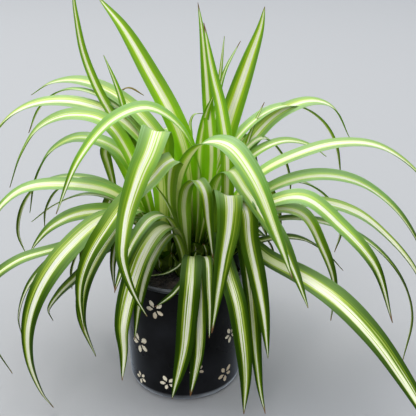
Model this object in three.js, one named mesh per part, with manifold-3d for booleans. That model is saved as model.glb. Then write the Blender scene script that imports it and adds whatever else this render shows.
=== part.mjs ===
// A spider plant in a small straight metal pot. Millimetres, +Z up, the pot stands on z = 0 at the origin.
// The plant has four crowns in dark potting mix. Each crown is one piece with its arching leaves.

import * as THREE from "three";
import { mergeVertices } from "three/addons/utils/BufferGeometryUtils.js";
import Module from "manifold-3d";

// ---------------------------------------------------------------------------------------------
// Driving dimensions
// ---------------------------------------------------------------------------------------------

const POT_HEIGHT = 113;
const POT_BASE_RADIUS = 50;
const POT_RIM_RADIUS = 52.2;
const POT_WALL = 1.3;
const POT_FOOT_ROUND = 7;
const POT_SIDES = 48;
const BEAD_RADIUS = 1.7;

const SOIL_TOP = 99;
const SOIL_BUMP = 1.6;
const SOIL_SIDES = 32;
const SOIL_RINGS = 5;

const FIT_GAP = 0.3;

const CROWN_FOOT = 100;
const CROWN_RADIUS = 8;
const CROWN_DEPTH = 12;
const CROWN_RISE = 16;
const CROWN_SIDES = 16;
const CROWN_TAPER = 0.6;

const BLADE_THICKNESS = 0.9;
const BLADE_ROOT_SHARE = 0.42;
const BLADE_TIP_SHARE = 0.08;
const BLADE_WIDEST_AT = 0.42;
const BLADE_TAPER = 2.8;
const CHANNEL_SHARE = 0.22;
const CLASP_SHARE = 0.45;
const CLASP_LENGTH = 0.35;
const BLADE_STEP = 70;
const BLADE_TURN = 38;
const BLADE_SAMPLES = 80;
const BLADE_FEWEST_RINGS = 5;
const ROOT_OUT = 1;
const ROOT_RISE = -6;

// Crown centres on the soil, seen from above.
const CROWNS = {
  front: [3, -2],
  left: [-18, 12],
  right: [28, 6],
  back: [10, 30],
};

// Leaves. Each row is [heading, roll, width, route]. Heading is the compass direction that the leaf
// leans in, in degrees from +X towards +Y. Roll turns the blade about its own line, in degrees.
// The route's points are [out, rise] or [out, rise, side]: out along the heading from the crown,
// rise above the crown's foot, and side to the left of the heading. The last point is the tip.
// A last number, where there is one, is the taper of a leaf that narrows sooner than the others.
const LEAVES = {
  front: [
    [225, -15, 17, [
      [5, 30, -2], [13, 60, -2], [19, 86, 2], [22, 105, 8], [24, 118, 14], [35, 116, 13],
      [48, 106, 11], [71, 91, 6], [86, 74, 2], [97, 55, -4], [104, 35, -8], [106, 16, -10],
      [104, -14, -10],
    ]],
    [235, -8, 18, [[6, 28], [18, 54], [38, 59], [60, 46], [78, 18], [87, -8], [87, -33], [90, -57]]],
    [239, 0, 12, [[9, 30], [22, 50], [36, 49], [56, 36], [70, 12], [79, -22]]],
    [229, -5, 13, [[8, 35], [24, 65], [42, 69], [63, 55], [77, 33], [84, 19]]],
    [270, 0, 17, [
      [10, 17, 3], [22, 31, 5], [38, 34, 5], [57, 22, 4],
      [63, 0, 2], [66, -36, -2], [67, -81, -12],
    ]],
    [270, 5, 14, [
      [10, 14, 5], [22, 24, 8], [37, 26, 9], [54, 15, 10],
      [59, 0, 10], [60, -40, 9], [60, -84, 3],
    ]],
    [270, 0, 9, [[10, 17, 9], [24, 31, 14], [38, 35, 17], [54, 22, 18], [62, 0, 19], [64, -23, 19]]],
    [300, 0, 13, [[-2, 40], [-4, 66], [1, 82], [10, 91], [20, 96], [32, 90], [38, 66], [44, 36]]],
    [215, 0, 5, [[4, 16, 2], [15, 15, 7], [28, 14, 9], [43, 15, 6]]],
    [250, 0, 6, [[12, 17, 3], [29, 20, 11], [44, 19, 13], [55, 13, 9], [58, 6, 2], [56, -2, -6]]],
    [225, 0, 6, [[6, 34, 2], [17, 58, 5], [32, 84, 10], [47, 104, 13]]],
    [314, 10, 21, [
      [-12, 40], [-14, 70], [-2, 104], [20, 127],
      [49, 131], [75, 112], [102, 69], [116, 43],
    ]],
  ],
  left: [
    [165, -25, 16, [[16, 75], [46, 130], [80, 135], [111, 121], [132, 93], [146, 61]]],
    [160, -20, 15, [[14, 60], [38, 104], [76, 113], [107, 97], [126, 68], [136, 32]]],
    [95, 0, 14, [
      [14, 49, 14], [34, 93, 35], [44, 100, 45], [49, 93, 49],
      [50, 79, 47], [48, 64, 44], [45, 45, 42], [41, 33, 41],
    ], 1.6],
    [180, -22, 15, [[16, 45], [42, 72], [84, 80], [119, 75], [143, 55], [160, 24], [165, 2]]],
    [155, -5, 12, [[20, 45], [52, 69], [92, 72], [129, 59], [152, 34], [163, 0], [156, -22]]],
    [165, 0, 13, [[16, 48], [40, 70], [74, 76], [98, 65], [112, 43], [115, 26]]],
    [150, 0, 9, [[20, 32], [50, 54], [85, 53], [121, 36], [157, 8]]],
    [190, -30, 16, [[16, 42], [44, 58], [76, 57], [96, 47], [109, 33], [114, 25]]],
    [200, -18, 12, [
      [18, 28], [52, 42], [88, 36], [126, 29],
      [150, 12], [158, -14], [152, -50], [141, -80],
    ]],
    [218, -25, 21, [
      [18, 44], [52, 64], [92, 46], [118, 20],
      [131, -8], [134, -40], [127, -76], [118, -97],
    ], 1.4],
    [205, 0, 12, [[30, 42], [72, 46], [98, 31], [120, 10], [131, -18], [130, -36]]],
    [262, -12, 25, [
      [-4, 38], [-1, 83, 1], [10, 111, 1], [25, 131, 4], [32, 139, 4], [41, 137, 4],
      [54, 127, 2], [65, 114, -3], [82, 87, -10], [92, 71, -11], [97, 60, -11],
      [100, 44, -7], [100, 27, -1], [96, 9, 6],
    ], 1.2],
    [225, -10, 15, [[10, 45], [30, 66], [60, 48], [84, 20], [91, -12], [80, -56]]],
    [210, 0, 16, [[20, 32], [54, 32], [80, 14], [98, 1], [108, -12], [105, -23]]],
    [230, 0, 11, [[10, 40], [30, 60], [50, 54], [60, 30], [60, 2]]],
    [128, 0, 14, [[16, 42], [46, 58], [80, 48], [104, 14], [112, -34]]],
    [145, 0, 14, [[18, 30], [48, 40], [80, 26], [100, -10], [104, -60]]],
    [172, 0, 13, [[16, 26], [46, 34], [72, 20], [86, -6], [88, -30]]],
  ],
  back: [
    [150, -10, 11, [
      [22, 36], [44, 77, 5], [63, 109, 11], [78, 132, 15], [89, 152, 17],
      [101, 180, 17], [107, 210, 16], [109, 224, 15], [108, 242, 14],
    ]],
    [155, -10, 11, [[24, 40], [57, 95], [74, 148], [87, 177]]],
    [145, -50, 18, [[2, 50], [10, 102], [24, 131], [46, 162], [76, 200], [104, 224]]],
    [140, -50, 10, [[-12, 50], [-18, 100], [-14, 150], [-8, 205], [-4, 226]]],
    [40, 20, 6, [[6, 60], [22, 126], [28, 165], [32, 196]]],
    [30, 30, 6, [[8, 60], [19, 127], [28, 166], [44, 192]]],
    [35, 50, 19, [[8, 50], [26, 98], [40, 134], [56, 172], [68, 200], [72, 217]]],
    [130, -30, 11, [[-4, 50], [-7, 105], [-14, 136], [-25, 158]]],
    [150, -20, 17, [[18, 80], [46, 119], [84, 143], [122, 150], [158, 143], [184, 128]]],
    [155, 0, 11, [[26, 70], [60, 122], [100, 143], [134, 142], [162, 122], [178, 95]]],
    [162, -20, 16, [
      [24, 70], [62, 121], [104, 136], [146, 134],
      [178, 120], [202, 96], [218, 66], [224, 40],
    ]],
    [200, -25, 14, [[-4, 50], [-4, 88], [12, 126], [40, 146], [70, 139], [100, 108], [122, 62]]],
    [28, 22, 16, [[20, 55], [46, 92], [80, 123], [118, 132], [146, 122], [168, 89]]],
    [30, 5, 13, [[16, 70], [42, 109], [76, 129], [106, 129], [136, 111], [156, 84], [166, 48]]],
    [30, 0, 8, [[24, 45], [48, 90], [60, 118], [70, 136]]],
    [12, 15, 13, [[22, 55], [48, 94], [78, 107], [104, 101], [120, 89]]],
    [20, 0, 11, [[22, 62], [48, 100], [64, 108], [82, 92], [92, 66], [93, 46]]],
    [45, 0, 14, [[20, 48], [50, 66], [84, 56], [112, 22], [124, -26]]],
    [62, 0, 15, [[18, 60], [44, 96], [80, 98], [112, 70], [130, 28], [134, -10]]],
    [74, 0, 15, [[16, 35], [44, 50], [74, 40], [96, 8], [104, -40], [100, -80]]],
    [86, 5, 16, [[20, 55], [52, 84], [90, 78], [120, 44], [134, -8], [132, -50]]],
    [100, 0, 16, [[14, 38], [40, 52], [66, 40], [82, 6], [86, -40], [84, -88]]],
    [112, -5, 15, [[18, 62], [46, 100], [84, 100], [116, 68], [132, 22]]],
    [126, 0, 14, [[18, 50], [50, 74], [90, 66], [120, 34], [136, -10]]],
    [150, 0, 7, [
      [26, 46, -2], [58, 91, -3], [82, 127, -8], [86, 140, -13], [79, 144, -17], [68, 137, -23],
    ], 5],
    [100, 0, 5, [[14, 52, 11], [31, 84, 3], [44, 101, -3], [52, 113, -4], [55, 119, -8], [58, 119, -18]]],
  ],
  right: [
    [270, -15, 24, [
      [10, 42, 4], [23, 75, 7], [36, 89, 9], [45, 83, 10],
      [54, 66, 9], [63, 45, 5], [71, 19, 1], [75, -16, -4],
    ], 1.3],
    [286, 0, 16, [
      [8, 35], [22, 48, -4], [37, 38, -6], [58, 27, -7],
      [74, 10, -5], [84, -26, -2], [85, -56], [83, -93],
    ]],
    [295, 0, 14, [
      [10, 39, 1], [22, 58, 4], [38, 51, 5], [53, 16, 5],
      [64, -17, 4], [72, -53, 4], [81, -76, 3], [90, -92, 3],
    ]],
    [300, 5, 18, [[10, 40], [22, 70], [38, 80], [47, 75], [53, 50], [64, 26], [76, -6], [84, -42]]],
    [310, 10, 18, [
      [-6, 40, 1], [-4, 73], [6, 93, -1], [19, 101], [37, 88, 1],
      [56, 69, 5], [71, 54, 7], [87, 31, 8], [103, 7, 7],
    ]],
    [325, 20, 22, [
      [12, 28], [32, 37], [54, 28], [84, 22],
      [118, 10], [150, -12], [178, -41], [198, -66], [214, -88],
    ]],
    [342, 18, 15, [[18, 40], [46, 66], [74, 66], [93, 37], [105, 4], [104, -32]]],
    [342, 25, 17, [[14, 42], [40, 68], [74, 80], [107, 58], [136, 27], [155, -24]]],
    [0, 15, 15, [[16, 30], [44, 54], [82, 66], [120, 56], [152, 30], [178, -2], [194, -38], [196, -62]]],
    [355, 0, 13, [[20, 32], [52, 52], [92, 51], [132, 33], [162, 0], [175, -36], [172, -86]]],
    [8, 20, 16, [[14, 45], [42, 74], [82, 86], [122, 79], [158, 53], [186, 16], [202, -20], [205, -44]]],
    [22, 0, 11, [[18, 40], [48, 72], [82, 72], [112, 50], [127, 16], [122, -6]]],
    [15, 0, 12, [[18, 16], [46, 25], [78, 22], [104, 5], [124, -18]]],
    [15, 15, 15, [
      [12, 60], [38, 88], [74, 103], [112, 109],
      [150, 102], [190, 74], [214, 42], [224, 16],
    ]],
    [30, 15, 14, [[16, 18], [42, 28], [54, 18], [61, 5], [62, -10]]],
    [50, 0, 13, [[14, 34], [40, 44], [64, 28], [78, 2]]],
    [130, -20, 12, [[-12, 50], [-14, 106], [-6, 146], [6, 178], [16, 212]]],
  ],
};

// ---------------------------------------------------------------------------------------------
// Solids
// ---------------------------------------------------------------------------------------------

const wasm = await Module();
wasm.setup();

function toSolid(geometry) {
  const bare = geometry.clone();
  bare.deleteAttribute("normal");
  bare.deleteAttribute("uv");
  const merged = mergeVertices(bare, 1e-4);
  const mesh = new wasm.Mesh({
    numProp: 3,
    vertProperties: new Float32Array(merged.attributes.position.array),
    triVerts: new Uint32Array(merged.index.array),
  });
  return new wasm.Manifold(mesh);
}

function toGeometry(solid) {
  const mesh = solid.getMesh();
  const geometry = new THREE.BufferGeometry();
  geometry.setAttribute("position", new THREE.BufferAttribute(new Float32Array(mesh.vertProperties), 3));
  geometry.setIndex(new THREE.BufferAttribute(new Uint32Array(mesh.triVerts), 1));
  geometry.computeVertexNormals();
  return geometry;
}

// Leaves that cross can seal a small hollow between them. It is filled, and a loose scrap is
// dropped, by keeping only the skin that encloses the most volume.
function outerSkin(geometry) {
  const index = geometry.index.array;
  const position = geometry.attributes.position;
  const parent = Array.from({ length: position.count }, (_, vertex) => vertex);
  const root = (vertex) => {
    while (parent[vertex] !== vertex) {
      parent[vertex] = parent[parent[vertex]];
      vertex = parent[vertex];
    }
    return vertex;
  };
  for (let face = 0; face < index.length; face += 3) {
    parent[root(index[face + 1])] = root(index[face]);
    parent[root(index[face + 2])] = root(index[face]);
  }
  const volumes = new Map();
  const [a, b, c] = [new THREE.Vector3(), new THREE.Vector3(), new THREE.Vector3()];
  for (let face = 0; face < index.length; face += 3) {
    a.fromBufferAttribute(position, index[face]);
    b.fromBufferAttribute(position, index[face + 1]);
    c.fromBufferAttribute(position, index[face + 2]);
    const skin = root(index[face]);
    volumes.set(skin, (volumes.get(skin) ?? 0) + a.dot(b.cross(c)) / 6);
  }
  const largest = [...volumes].reduce((best, entry) => (entry[1] > best[1] ? entry : best))[0];
  const kept = [];
  for (let face = 0; face < index.length; face += 3) {
    if (root(index[face]) === largest) {
      kept.push(index[face], index[face + 1], index[face + 2]);
    }
  }
  geometry.setIndex(kept);
  return mergeVertices(geometry, 0);
}

function lathe(profile, sides) {
  const points = profile.map(([radius, z]) => new THREE.Vector2(radius, z));
  const geometry = new THREE.LatheGeometry(points, sides);
  geometry.rotateX(Math.PI / 2);
  return geometry;
}

// Points of an arc in a lathe profile, from one angle to another, in degrees from the outward radius.
function arc(centreRadius, centreZ, radius, from, to, steps) {
  const points = [];
  for (let step = 0; step <= steps; step += 1) {
    const angle = THREE.MathUtils.degToRad(from + ((to - from) * step) / steps);
    points.push([centreRadius + radius * Math.cos(angle), centreZ + radius * Math.sin(angle)]);
  }
  return points;
}

// ---------------------------------------------------------------------------------------------
// Pot
// ---------------------------------------------------------------------------------------------

// The wall leans out a little, so every radius depends on the height.
function potRadius(z) {
  return POT_BASE_RADIUS + ((POT_RIM_RADIUS - POT_BASE_RADIUS) * z) / POT_HEIGHT;
}

function makePot() {
  const beadZ = POT_HEIGHT - BEAD_RADIUS;
  const beadCentre = potRadius(beadZ);
  const footCentre = potRadius(POT_FOOT_ROUND) - POT_FOOT_ROUND;
  const innerRound = POT_FOOT_ROUND - POT_WALL;
  const profile = [
    [0, 0],
    ...arc(footCentre, POT_FOOT_ROUND, POT_FOOT_ROUND, -90, 0, 4),
    ...arc(beadCentre, beadZ, BEAD_RADIUS, -60, 220, 7),
    ...arc(footCentre, POT_FOOT_ROUND, innerRound, 0, -90, 3),
    [0, POT_WALL],
  ];
  return lathe(profile, POT_SIDES);
}

// ---------------------------------------------------------------------------------------------
// Soil
// ---------------------------------------------------------------------------------------------

// Low uneven crumbs: two crossed waves, given in radians per mm along x and y.
function soilHeight(x, y) {
  const waves = Math.sin(0.31 * x + 0.17 * y) + Math.sin(0.37 * y - 0.13 * x);
  return SOIL_TOP + (SOIL_BUMP / 2) * waves;
}

function makeSoil() {
  const floorZ = POT_WALL + FIT_GAP;
  const footRound = POT_FOOT_ROUND - POT_WALL - FIT_GAP;
  const footCentre = potRadius(POT_FOOT_ROUND) - POT_FOOT_ROUND;
  const edge = potRadius(SOIL_TOP) - POT_WALL - 2 * FIT_GAP;
  const profile = [[0, floorZ], ...arc(footCentre, floorZ + footRound, footRound, -90, 0, 3)];
  for (let ring = SOIL_RINGS; ring >= 0; ring -= 1) {
    profile.push([(edge * ring) / SOIL_RINGS, SOIL_TOP]);
  }
  const body = lathe(profile, SOIL_SIDES);
  const position = body.attributes.position;
  for (let index = 0; index < position.count; index += 1) {
    if (position.getZ(index) > SOIL_TOP - FIT_GAP) {
      position.setZ(index, soilHeight(position.getX(index), position.getY(index)));
    }
  }
  return Object.values(CROWNS).reduce((soil, centre) => soil.subtract(crownHole(centre)), toSolid(body));
}

// A plain round hole for a crown's foot.
function crownHole([x, y]) {
  const radius = CROWN_RADIUS + FIT_GAP;
  const bottom = CROWN_FOOT - CROWN_DEPTH - FIT_GAP;
  const top = CROWN_FOOT + CROWN_RISE;
  const hole = lathe([[0, bottom], [radius, bottom], [radius, top], [0, top]], CROWN_SIDES);
  hole.translate(x, y, 0);
  return toSolid(hole);
}

// ---------------------------------------------------------------------------------------------
// Leaves
// ---------------------------------------------------------------------------------------------

// Share of the full width along a blade: narrow where it clasps the crown, widest before the
// middle, then a long taper to the tip.
function bladeWidth(t, taper) {
  if (t < BLADE_WIDEST_AT) {
    const swell = Math.sin((Math.PI / 2) * (t / BLADE_WIDEST_AT)) ** 2;
    return BLADE_ROOT_SHARE + (1 - BLADE_ROOT_SHARE) * swell;
  }
  return 1 - (1 - BLADE_TIP_SHARE) * ((t - BLADE_WIDEST_AT) / (1 - BLADE_WIDEST_AT)) ** taper;
}

// Depth of the channel as a share of half the width: a deep fold at the crown that opens out.
function channelDepth(t) {
  return CHANNEL_SHARE + CLASP_SHARE * (1 - Math.min(t / CLASP_LENGTH, 1)) ** 2;
}

// Places of the rings along a blade: close together where it bends and far apart where it is
// nearly straight. A ring is due after BLADE_STEP mm, after BLADE_TURN degrees, or a mix of both.
function ringPlaces(curve) {
  const length = curve.getLength();
  const spent = [0];
  for (let sample = 1; sample <= BLADE_SAMPLES; sample += 1) {
    const before = curve.getTangentAt((sample - 1) / BLADE_SAMPLES);
    const after = curve.getTangentAt(sample / BLADE_SAMPLES);
    const turn = THREE.MathUtils.radToDeg(before.angleTo(after)) / BLADE_TURN;
    spent.push(spent[sample - 1] + length / BLADE_SAMPLES / BLADE_STEP + turn);
  }
  const rings = Math.max(BLADE_FEWEST_RINGS, Math.round(spent[BLADE_SAMPLES]));
  const places = [];
  for (let ring = 0; ring <= rings; ring += 1) {
    const due = (spent[BLADE_SAMPLES] * ring) / rings;
    const sample = Math.max(1, spent.findIndex((value) => value >= due - 1e-9));
    const share = (due - spent[sample - 1]) / (spent[sample] - spent[sample - 1]);
    places.push(Math.min(1, (sample - 1 + share) / BLADE_SAMPLES));
  }
  return places;
}

// A blade is a shallow channel of even thickness. Each ring has three points on the upper face and
// three below them, and both faces are split into triangles alike.
function makeBlade([x, y], [heading, roll, width, route, taper = BLADE_TAPER]) {
  const angle = THREE.MathUtils.degToRad(heading);
  const out = new THREE.Vector3(Math.cos(angle), Math.sin(angle), 0);
  const side = new THREE.Vector3(-Math.sin(angle), Math.cos(angle), 0);
  const place = ([along, rise, across = 0]) =>
    new THREE.Vector3(x, y, CROWN_FOOT + rise).addScaledVector(out, along).addScaledVector(side, across);
  const points = [[ROOT_OUT, ROOT_RISE], ...route].map(place);
  const curve = new THREE.CatmullRomCurve3(points, false, "centripetal");
  const places = ringPlaces(curve);
  const rings = places.length - 1;
  const vertices = [];
  for (const t of places) {
    const centre = curve.getPointAt(t);
    const along = curve.getTangentAt(t);
    const across = side.clone().addScaledVector(along, -side.dot(along)).normalize();
    across.applyAxisAngle(along, THREE.MathUtils.degToRad(roll * Math.min(1, 2 * t)));
    const up = along.clone().cross(across);
    const half = (width / 2) * bladeWidth(t, taper);
    const depth = half * channelDepth(t);
    for (const level of [0, -BLADE_THICKNESS]) {
      for (const [offset, drop] of [[1, 0], [0, depth], [-1, 0]]) {
        const point = centre.clone().addScaledVector(across, offset * half).addScaledVector(up, level - drop);
        vertices.push(point.x, point.y, point.z);
      }
    }
  }
  const faces = [];
  const quad = (a, b, c, d) => faces.push(a, b, c, a, c, d);
  for (let ring = 0; ring < rings; ring += 1) {
    const here = ring * 6;
    const next = here + 6;
    quad(here, here + 1, next + 1, next);
    quad(here + 1, here + 2, next + 2, next + 1);
    quad(here + 3, next + 3, next + 4, here + 4);
    quad(here + 4, next + 4, next + 5, here + 5);
    quad(here + 3, here, next, next + 3);
    quad(here + 2, here + 5, next + 5, next + 2);
  }
  for (const [ring, turned] of [[0, true], [rings, false]]) {
    const base = ring * 6;
    for (const [a, b, c, d] of [[0, 1, 4, 3], [1, 2, 5, 4]]) {
      if (turned) {
        quad(base + a, base + d, base + c, base + b);
      } else {
        quad(base + a, base + b, base + c, base + d);
      }
    }
  }
  const geometry = new THREE.BufferGeometry();
  geometry.setAttribute("position", new THREE.BufferAttribute(new Float32Array(vertices), 3));
  geometry.setIndex(faces);
  return toSolid(geometry);
}

// The short stem that the leaves of one crown clasp.
function makeStem([x, y]) {
  const bottom = CROWN_FOOT - CROWN_DEPTH;
  const profile = [
    [0, bottom],
    [CROWN_RADIUS * CROWN_TAPER, bottom],
    [CROWN_RADIUS, CROWN_FOOT - CROWN_DEPTH / 2],
    [CROWN_RADIUS, CROWN_FOOT + CROWN_RISE / 5],
    [CROWN_RADIUS * CROWN_TAPER, CROWN_FOOT + (CROWN_RISE * 2) / 3],
    [0, CROWN_FOOT + CROWN_RISE],
  ];
  const stem = lathe(profile, CROWN_SIDES);
  stem.translate(x, y, 0);
  return toSolid(stem);
}

function makeRosette(name) {
  const blades = LEAVES[name].map((leaf) => makeBlade(CROWNS[name], leaf));
  return blades.reduce((rosette, blade) => rosette.add(blade), makeStem(CROWNS[name]));
}

// ---------------------------------------------------------------------------------------------
// Scene graph
// ---------------------------------------------------------------------------------------------

const potMetal = { color: 0x2b2d30, roughness: 0.45, metalness: 0.6 };
const darkSoil = { color: 0x1d1712, roughness: 0.95, metalness: 0 };
const leafGreen = { color: 0x5f9a2c, roughness: 0.45, metalness: 0 };

function part(name, geometry, finish) {
  const mesh = new THREE.Mesh(geometry, new THREE.MeshStandardMaterial(finish));
  mesh.name = name;
  return mesh;
}

const group = new THREE.Group();
group.add(part("pot", makePot(), potMetal));
group.add(part("soil", toGeometry(makeSoil()), darkSoil));
for (const name of Object.keys(CROWNS)) {
  group.add(part(`rosette_${name}`, outerSkin(toGeometry(makeRosette(name))), leafGreen));
}

export default group;
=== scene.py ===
# %% [markdown]
# # A spider plant in a small dark metal pot
# The plant is four crowns of long arching leaves, each leaf green with a cream stripe down its
# middle. The CAD model already holds every leaf's course, so this scene keeps those courses and
# gives each piece its finer shape and its finish. The frame loads first.

# %% Load the frame
import math
import random

import bpy
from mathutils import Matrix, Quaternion, Vector


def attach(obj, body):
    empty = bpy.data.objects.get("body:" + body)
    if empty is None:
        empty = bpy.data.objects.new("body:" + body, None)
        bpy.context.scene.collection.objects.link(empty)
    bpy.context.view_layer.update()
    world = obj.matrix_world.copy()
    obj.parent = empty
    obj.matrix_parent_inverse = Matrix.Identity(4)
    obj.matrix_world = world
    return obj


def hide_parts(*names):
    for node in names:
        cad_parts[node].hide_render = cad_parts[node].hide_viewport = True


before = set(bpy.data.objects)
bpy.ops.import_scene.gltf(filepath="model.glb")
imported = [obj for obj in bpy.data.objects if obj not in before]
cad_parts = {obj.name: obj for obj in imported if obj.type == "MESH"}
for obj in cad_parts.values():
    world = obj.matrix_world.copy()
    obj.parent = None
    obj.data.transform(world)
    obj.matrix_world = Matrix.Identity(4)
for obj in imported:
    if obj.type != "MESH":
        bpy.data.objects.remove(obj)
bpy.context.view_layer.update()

MM = 0.001

# %% [markdown]
# ## Camera, floor and light
# The camera stands where the photographer stood: a little above the plant, looking down by about
# 24 degrees with a moderately long lens. A studio shot could use a curved backdrop, but a broad
# pale floor fills the whole picture at this angle, and it is simpler. Most of the light is an even
# bright sky, because the plant is lit like one that stands outdoors on a grey day. Three area lights
# act as softboxes and give it a direction: one high on the left and behind, so that light comes
# through the upper leaves, one broad one overhead and one at the front.

# %% Camera
CAMERA_PLACE = (0.021, -0.539, 0.399)
CAMERA_TILT = 66.3
CAMERA_LENS = 60.58

bpy.ops.object.camera_add(location=CAMERA_PLACE, rotation=(math.radians(CAMERA_TILT), 0, 0))
camera = bpy.context.object
camera.data.lens = CAMERA_LENS
bpy.context.scene.camera = camera
print("camera lens", camera.data.lens, "mm")


# %% Helpers that every step uses
def leave_edit():
    bpy.ops.object.mode_set(mode="OBJECT")


def clear_selection():
    """Leaves edit mode and deselects everything, so that an operator acts on one piece only."""
    if bpy.context.object and bpy.context.object.mode != "OBJECT":
        leave_edit()
    bpy.ops.object.select_all(action="DESELECT")


def pick(piece):
    """Makes this piece the only selected one, and the active one."""
    clear_selection()
    piece.select_set(True)
    bpy.context.view_layer.objects.active = piece


def edit(piece, kind="VERT"):
    """Opens a piece in edit mode with nothing selected."""
    pick(piece)
    bpy.ops.object.mode_set(mode="EDIT")
    bpy.ops.mesh.select_mode(type=kind)
    bpy.ops.mesh.select_all(action="DESELECT")


def choose_all():
    bpy.ops.mesh.select_all(action="SELECT")


def choose(piece, test, kind="VERT"):
    """Selects the vertices, or the faces, whose place passes the test, and returns to edit mode."""
    bpy.ops.mesh.select_all(action="DESELECT")
    leave_edit()
    for part in piece.data.vertices if kind == "VERT" else piece.data.polygons:
        part.select = test(part.co if kind == "VERT" else part.center)
    bpy.ops.object.mode_set(mode="EDIT")


def bake_place(piece):
    """Moves a piece's place, turn and scale into its mesh, so that its object sits at the origin."""
    pick(piece)
    bpy.ops.object.transform_apply(location=True, rotation=True, scale=True)


def apply_modifier(piece, kind, **settings):
    """Adds a modifier with these settings and applies it."""
    pick(piece)
    modifier = piece.modifiers.new(kind.title(), kind)
    for name, value in settings.items():
        setattr(modifier, name, value)
    bpy.ops.object.modifier_apply(modifier=modifier.name)


def copy_of(piece):
    """A copy of a piece with a mesh of its own."""
    copy = piece.copy()
    copy.data = piece.data.copy()
    bpy.context.collection.objects.link(copy)
    return copy


def join(pieces, name):
    """Joins several pieces into one mesh and names it."""
    clear_selection()
    for piece in pieces:
        piece.select_set(True)
    bpy.context.view_layer.objects.active = pieces[0]
    if len(pieces) > 1:
        bpy.ops.object.join()
    joined = bpy.context.object
    joined.name = joined.data.name = name
    return joined


def hand_over(piece, node, angle=40):
    """Smooths a piece, hangs it on the body and says what it stands for."""
    pick(piece)
    bpy.ops.object.shade_smooth_by_angle(angle=math.radians(angle))
    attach(piece, "root")
    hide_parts(node)
    print(piece.name, "has", len(piece.data.polygons), "faces and stands for", node)


# %% Helpers for finishes
def start_finish(name):
    """A new material, its node tree and its main shader."""
    finish = bpy.data.materials.new(name)
    finish.use_nodes = True
    return finish, finish.node_tree, finish.node_tree.nodes["Principled BSDF"]


def feed(tree, node, inputs):
    """Fills a node's inputs, each with a number, a colour or another node's output."""
    for name, source in inputs.items():
        socket = node.inputs[name]
        if isinstance(source, bpy.types.NodeSocket):
            tree.links.new(source, socket)
        else:
            socket.default_value = (*source, 1.0) if socket.type == "RGBA" else source


def add(tree, kind, inputs={}, **settings):
    """Adds a shader node with these settings and inputs."""
    node = tree.nodes.new(f"ShaderNode{kind}")
    for name, value in settings.items():
        setattr(node, name, value)
    feed(tree, node, inputs)
    return node


def sums(tree, operation, first, second=0.0, clamp=False):
    """One step of arithmetic on one or two values."""
    node = add(tree, "Math", {0: first, 1: second}, operation=operation, use_clamp=clamp)
    return node.outputs[0]


def product(tree, first, *others):
    """Several values multiplied together."""
    for other in others:
        first = sums(tree, "MULTIPLY", first, other)
    return first


def scale_to(tree, value, low, high, new_low=0.0, new_high=1.0):
    """Rescales a value from one range to another, and holds it at the ends."""
    inputs = {"Value": value, "From Min": low, "From Max": high, "To Min": new_low, "To Max": new_high}
    return add(tree, "MapRange", inputs).outputs["Result"]


def noise(tree, place, scale, detail):
    """Soft noise around one half. A larger scale makes finer spots."""
    inputs = {"Vector": place, "Scale": scale, "Detail": detail}
    return add(tree, "TexNoise", inputs).outputs["Fac"]


def relief(tree, height, strength, distance):
    """The normal of a surface with fine relief."""
    inputs = {"Height": height, "Strength": strength, "Distance": distance}
    return add(tree, "Bump", inputs).outputs["Normal"]


def ramp(tree, value, stops):
    """A colour ramp: stops are (position, (red, green, blue))."""
    node = add(tree, "ValToRGB", {"Fac": value})
    band = node.color_ramp
    while len(band.elements) < len(stops):
        band.elements.new(0.5)
    for element, (position, colour) in zip(band.elements, stops):
        element.position = position
        element.color = (*colour, 1.0)
    return node.outputs["Color"]


def mix(tree, share, first, second, blend="MIX"):
    """Mixes two colours."""
    inputs = {0: share, 6: first, 7: second}
    return add(tree, "Mix", inputs, data_type="RGBA", blend_type=blend).outputs[2]


# %% Floor and softboxes
FLOOR_SIZE = 60.0
FLOOR_COLOUR = (0.21, 0.21, 0.212)
FLOOR_ROUGHNESS = 0.9
SKY_COLOUR = (0.86, 0.92, 1.0)
SKY_STRENGTH = 1.45
HAZE_STRENGTH = 0.41
AIM = Vector((0.01, 0.0, 0.13))
# name: place, size in metres, power in watts, colour
SOFTBOXES = {
    "key_back_left": ((-1.9, 1.6, 4.2), 2.2, 160.0, (1.0, 0.98, 0.93)),
    "overhead": ((0.4, 0.3, 4.3), 6.0, 200.0, (0.97, 0.99, 1.0)),
    "front_fill": ((-1.5, -4.2, 3.4), 2.4, 130.0, (1.0, 0.98, 0.96)),
}

clear_selection()
bpy.ops.mesh.primitive_plane_add(size=FLOOR_SIZE)
floor = bpy.context.object
floor.name = "floor"
finish, tree, shader = start_finish("pale_floor")
feed(tree, shader, {"Base Color": FLOOR_COLOUR, "Roughness": FLOOR_ROUGHNESS})
floor.data.materials.append(finish)

for name, (place, size, power, colour) in SOFTBOXES.items():
    bpy.ops.object.light_add(type="AREA", location=place)
    light = bpy.context.object
    light.name = name
    light.data.size = size
    light.data.energy = power
    light.data.color = colour
    light.rotation_euler = (Vector(place) - AIM).to_track_quat("Z", "Y").to_euler()

world = bpy.data.worlds.new("studio_sky")
world.use_nodes = True
tree = world.node_tree
sky = tree.nodes["Background"]
feed(tree, sky, {"Color": SKY_COLOUR, "Strength": SKY_STRENGTH})
# Seen past the floor's edge, the sky is as dim as the far floor, so no horizon shows.
haze = add(tree, "Background", {"Color": SKY_COLOUR, "Strength": HAZE_STRENGTH})
seen = add(tree, "LightPath").outputs["Is Camera Ray"]
backdrop = add(tree, "MixShader", {0: seen, 1: sky.outputs[0], 2: haze.outputs[0]})
feed(tree, tree.nodes["World Output"], {"Surface": backdrop.outputs[0]})
bpy.context.scene.world = world
bpy.context.scene.view_settings.view_transform = "Standard"
print(len(SOFTBOXES), "softboxes")
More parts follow.
